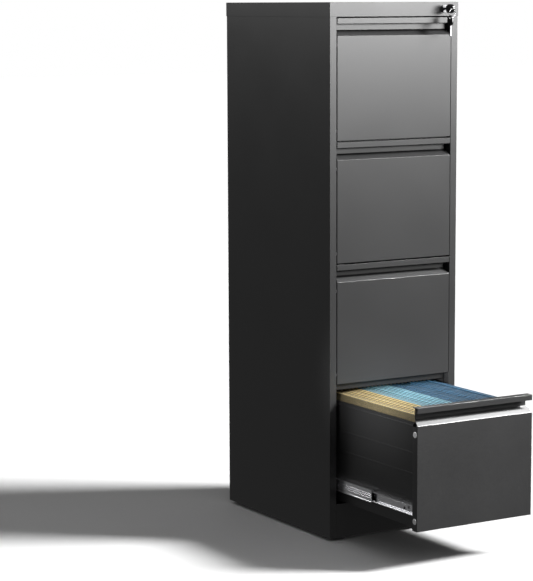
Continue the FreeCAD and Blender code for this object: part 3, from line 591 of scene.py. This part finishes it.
def card(name, slot, colour, top, outer):
    """Matt card with fine fibres. Painted highlight on the ridges and on the outer face of each group's
    first folder, painted shade on the walls down between the folders.
    """
    finish = Finish(name, slot, 0.72)
    fibres = finish.noise(1, 4, finish.stretched((900, 160, 900)))
    across = finish.node("ShaderNodeSeparateXYZ", {}, {"Vector": finish.place})
    up = finish.node("ShaderNodeSeparateXYZ", {}, {"Vector": finish.place}, output="Z")
    # Lighter towards the top of each card: a painted highlight on the ridge and painted shade on the walls
    # below it.
    ridge = finish.node("ShaderNodeMapRange", {"interpolation_type": "SMOOTHSTEP"},
                        {"Value": up, "From Min": top - 0.0018, "From Max": top - 0.0005})
    # The outer face of each group's first folder is painted bright: a painted highlight.
    face = finish.joined("LESS_THAN", across, outer + 0.0012)
    painted_light = finish.joined("MAXIMUM", ridge, face)
    # The mix of painted highlight and painted shade, with the fibres on top.
    shade = painted_light * 0.85 + fibres * 0.3 - 0.075
    # The dark colour is painted shade and the pale colour is painted highlight.
    finish.colour(shade, [tone * 0.06 for tone in colour], [tone * 1.55 for tone in colour])
    finish.roughness(0.66 + fibres * 0.16)
    finish.bump(fibres, 0.00008, 0.6)
    return finish


def add_folder(middle, half, along, up):
    """Two card walls that meet in a rounded ridge over the rod and in a crease at the bottom."""
    ridge = 0.0014
    thickness = 0.0007
    walls = []
    for side in (-1, 1):
        outer = middle + side * half
        near, far = sorted((outer, outer - side * thickness))
        wall = add_block("wall", (near, along[0], up[0]), (far, along[1], up[1]))
        select_only(wall)
        bpy.ops.object.mode_set(mode="EDIT")
        for cut_up in (up[0] + 0.010, up[1] - 0.026, up[1] - 0.012):
            bpy.ops.mesh.select_all(action="SELECT")
            bpy.ops.mesh.bisect(plane_co=(0, 0, cut_up), plane_no=(0, 0, 1))
        mesh = bmesh.from_edit_mesh(wall.data)
        for vertex in mesh.verts:
            if vertex.co.z > up[1] - 0.001:
                vertex.co.x -= side * (half - ridge)
                vertex.co.z -= 0.0015
            elif vertex.co.z > up[1] - 0.013:
                vertex.co.x -= side * (half - ridge) * 0.72
            elif vertex.co.z < up[0] + 0.001:
                vertex.co.x -= side * half * 0.85
        bmesh.update_edit_mesh(wall.data)
        bpy.ops.object.mode_set(mode="OBJECT")
        walls.append(wall)
    fold_up = up[1] - ridge
    fold = add_tube("fold", (middle, along[0], fold_up), (middle, along[1], fold_up), ridge, 12)
    return [*walls, fold]


folder_gap = 0.001
tip_length = 0.0056
random.seed(11)
paper = Finish("white_paper", "card_yellow", 0.8)
sheets = paper.noise(1, 2, paper.stretched((2500, 2, 2)))
paper.colour(sheets, (0.5, 0.49, 0.45), (0.82, 0.81, 0.77))
ivory = Finish("ivory_hook_tips", "card_yellow", 0.45)
ivory.colour(ivory.noise(400), (0.62, 0.54, 0.36), (0.82, 0.74, 0.54))
papers = []
tips = []
rods_low, rods_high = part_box("folder_rods")
rod_ends = ((rods_low.y, rods_low.y + tip_length), (rods_high.y - tip_length, rods_high.y))
groups = (("folders_yellow", 7, (0.62, 0.49, 0.23)),
          ("folders_light_blue", 8, (0.25, 0.50, 0.60)),
          ("folders_dark_blue", 12, (0.05, 0.155, 0.27)))
for node, count, colour in groups:
    low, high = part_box(node)
    pitch = (high.x - low.x + folder_gap) / count
    half = (pitch - folder_gap) / 2
    made = []
    for index in range(count):
        middle = low.x + half + index * pitch
        sag = random.uniform(0, 0.0006)
        made += add_folder(middle, half, (low.y, high.y), (low.z, high.z - sag))
        paper_top = high.z - 0.03 - random.uniform(0, 0.012)
        papers.append(add_block("papers", (middle - half * 0.7, low.y + 0.008, low.z + 0.012),
                                (middle + half * 0.7, high.y - 0.008, paper_top)))
        for near, far in rod_ends:
            tips.append(add_block("tip", (middle - half + 0.0004, near, rods_low.z - 0.008),
                                  (middle + half - 0.0004, far, rods_high.z + 0.0008)))
    folders_made = weld(node + "_made", made)
    smooth(folders_made, 30)
    slot = node.replace("folders", "card")
    fit(folders_made, "drawer_4", card(node + "_card", slot, colour, high.z, low.x), node)
papers_made = weld("folder_papers", papers)
soften(papers_made, 0.0004, 1)
fit(papers_made, "drawer_4", paper)
tips_made = weld("folder_rod_tips", tips)
soften(tips_made, 0.0009, 3)
smooth(tips_made)
fit(tips_made, "drawer_4", ivory)
remake("folder_rods", screw_zinc, edge=0.0005)
remake("folder_rails", screw_zinc, edge=0.0004)

# ---------------------------------------------------------------- lock
# A cam lock in the cap's front: chromed barrel and plug, a nut behind the skirt, and a cam
# whose pin lifts and lowers the flat locking bar with its four hooks.

chrome = Finish("lock_chrome", "lock_chrome", 0.12, metallic=1.0)
turning = chrome.noise(1, 2, chrome.stretched((1500, 30, 1500)))
chrome.colour(turning, (0.62, 0.62, 0.64), (0.86, 0.86, 0.88))
chrome.roughness(0.08 + turning * 0.14)
chrome.bump(turning, 0.00001, 0.4)

lock_metal = Finish("dark_lock_chrome", "lock_chrome", 0.3, metallic=1.0)
polish = lock_metal.noise(1, 2, lock_metal.stretched((1200, 40, 1200)))
lock_metal.colour(polish, (0.05, 0.05, 0.052), (0.11, 0.11, 0.112))
lock_metal.roughness(0.22 + polish * 0.14)
remake("lock_housing", lock_metal, edge=0.0007)
remake("lock_plug", lock_metal, edge=0.00025)
for node in ("lock_nut", "lock_cam", "cam_screw", "lock_bar", "lock_hooks"):
    remake(node, screw_zinc, edge=0.0003)
remake("lock_bar_guides", black_plastic, edge=0.0004)

# ---------------------------------------------------------------- keys
# The key in the lock has a black moulded cover over a steel blade. A wire ring through its
# bow carries the spare key, which hangs blade down in front of the top drawer.

key_black = Finish("key_black_cover", "key_black", 0.28, coat=0.4)
scuffs = key_black.noise(350, 4)
key_black.colour(scuffs, (0.006, 0.006, 0.006), (0.02, 0.02, 0.021))
key_black.roughness(0.2 + scuffs * 0.2)
key_black.bump(scuffs, 0.00003, 0.5)
remake("key", key_black, edge=0.0011)

low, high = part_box("key_ring")
ring_middle = (low + high) / 2
wire = (high.y - low.y) / 2
ring_radius = (high.x - low.x) / 2 - wire
rings = []
for shift in (-0.45, 0.45):
    bpy.ops.object.select_all(action="DESELECT")
    bpy.ops.mesh.primitive_torus_add(major_radius=ring_radius, minor_radius=wire * 0.6, major_segments=72,
                                     minor_segments=12, rotation=(math.pi / 2, 0, 0),
                                     location=ring_middle + Vector((0, shift * wire * 1.1, 0)))
    rings.append(settle("ring_turn"))
ring_made = weld("key_ring_made", rings)
smooth(ring_made, 60)
fit(ring_made, "ring_on_key", chrome, "key_ring")

bow_half = 0.0105
bow_across = 0.0024
hole_up = low.z + wire - 0.0024
bow_top = hole_up + 0.006
bow_low = bow_top - 0.026
blade_low = low.z - 0.046
along = ring_middle.y + 0.003
across = ring_middle.x - 0.004
bow = add_block("spare_key_bow", (across - bow_across, along - bow_half, bow_low),
                (across + bow_across, along + bow_half, bow_top))


def bow_corner(edge):
    return abs((edge.verts[0].co - edge.verts[1].co).x) > bow_across


select_edges(bow, bow_corner)
bpy.ops.mesh.bevel(offset=0.0095, segments=8, affect="EDGES", clamp_overlap=True)
bpy.ops.object.mode_set(mode="OBJECT")
cut(bow, add_tube("hole", (across - 0.01, along, hole_up), (across + 0.01, along, hole_up), 0.0034, 24))
soften(bow, 0.0009, 3)
smooth(bow)
fit(bow, "ring_on_key", key_black)
blade = add_block("spare_key_blade", (across - 0.0009, along - 0.0034, blade_low),
                  (across + 0.0009, along + 0.0034, bow_low + 0.008))
for tooth, depth in enumerate((0.0016, 0.0026, 0.0011, 0.0022)):
    up = blade_low + 0.004 + tooth * 0.0042
    cut(blade, add_tube("tooth", (across - 0.005, along + 0.0034 + 0.0022 - depth, up),
                        (across + 0.005, along + 0.0034 + 0.0022 - depth, up), 0.0022, 4))
soften(blade, 0.0002, 1)
smooth(blade, 30)
fit(blade, "ring_on_key", screw_zinc)

# ---------------------------------------------------------------- floor, light and camera
# A plain white floor that runs out of view, under a sun with soft edges. Three softboxes and one
# spot are seen only in reflections, and a small spot lights the open drawer's side.

bpy.ops.object.select_all(action="DESELECT")
bpy.ops.mesh.primitive_plane_add(size=60)
floor = bpy.context.object
floor.name = "floor"
pale = Finish("pale_floor", "grey_powder_coat", 0.75)
pale.colour(pale.noise(3), (0.86, 0.86, 0.86), (0.88, 0.88, 0.88))
floor.data.materials.append(pale.material)
floor.visible_diffuse = False
floor.visible_glossy = False


def add_softbox(name, place, target, width, tall, power):
    """A rectangular light, turned to a target, that shows only in reflections."""
    light = bpy.data.lights.new(name, "AREA")
    light.shape = "RECTANGLE"
    light.size = width
    light.size_y = tall
    light.energy = power
    softbox = bpy.data.objects.new(name, light)
    softbox.location = place
    softbox.rotation_euler = (Vector(target) - Vector(place)).to_track_quat("-Z", "Y").to_euler()
    softbox.visible_camera = False
    bpy.context.scene.collection.objects.link(softbox)
    softbox.visible_diffuse = False


add_softbox("front_sheen", (1.75, -2.85, 1.75), (0, -0.25, 1.3), 1.8, 0.7, 168)
add_softbox("side_sheen", (-1.9, 2.5, 2.1), (-0.19, 0, 1.2), 2.0, 0.8, 30)
add_softbox("overhead_sheen", (-0.3, -1.3, 3.4), (0, -0.3, 0.8), 2.0, 2.0, 160)


def add_spot(name, place, target, power, radius, cone, blend):
    """A soft-edged spot light at a place, turned to a target; the cone is in degrees."""
    light = bpy.data.lights.new(name, "SPOT")
    light.energy = power
    light.shadow_soft_size = radius
    light.spot_size = math.radians(cone)
    light.spot_blend = blend
    spot = bpy.data.objects.new(name, light)
    spot.location = place
    spot.rotation_euler = (Vector(target) - Vector(place)).to_track_quat("-Z", "Y").to_euler()
    bpy.context.scene.collection.objects.link(spot)
    return spot


recess_sheen = add_spot("recess_sheen", (1.95, -1.78, 2.75), (0, -0.59, 0.36), 4600, 0.25, 15, 0.6)
recess_sheen.visible_diffuse = False
add_spot("drawer_side_light", (-2.6, -1.25, 0.72), (-0.157, -0.41, 0.42), 520, 0.1, 7, 0.7)

sun = bpy.data.lights.new("key_light", "SUN")
sun.energy = 5.7
sun.angle = math.radians(12.5)
key_light = bpy.data.objects.new("key_light", sun)
key_light.rotation_euler = Vector((-0.84, 0.54, -0.8)).to_track_quat("-Z", "Y").to_euler()
bpy.context.scene.collection.objects.link(key_light)

world = bpy.data.worlds.new("studio")
world.use_nodes = True
bpy.context.scene.world = world
nodes = world.node_tree.nodes
links = world.node_tree.links
dim = nodes["Background"]
dim.inputs["Color"].default_value = (1, 1, 1, 1)
dim.inputs["Strength"].default_value = 0.14
clear = nodes.new("ShaderNodeBackground")
clear.inputs["Color"].default_value = (1, 1, 1, 1)
clear.inputs["Strength"].default_value = 1.0
seen = nodes.new("ShaderNodeLightPath")
either = nodes.new("ShaderNodeMixShader")
links.new(seen.outputs["Is Camera Ray"], either.inputs[0])
links.new(dim.outputs[0], either.inputs[1])
links.new(clear.outputs[0], either.inputs[2])
links.new(either.outputs[0], nodes["World Output"].inputs["Surface"])

camera = bpy.data.cameras.new("camera")
camera.sensor_width = 36
camera.lens = 132.25
camera.clip_end = 100
viewpoint = bpy.data.objects.new("camera", camera)
viewpoint.location = (-2.98098, -4.60681, 1.33344)
viewpoint.rotation_euler = (1.43601, 0.00375, -0.54034)
bpy.context.scene.collection.objects.link(viewpoint)
bpy.context.scene.camera = viewpoint
bpy.context.scene.view_settings.view_transform = "Standard"
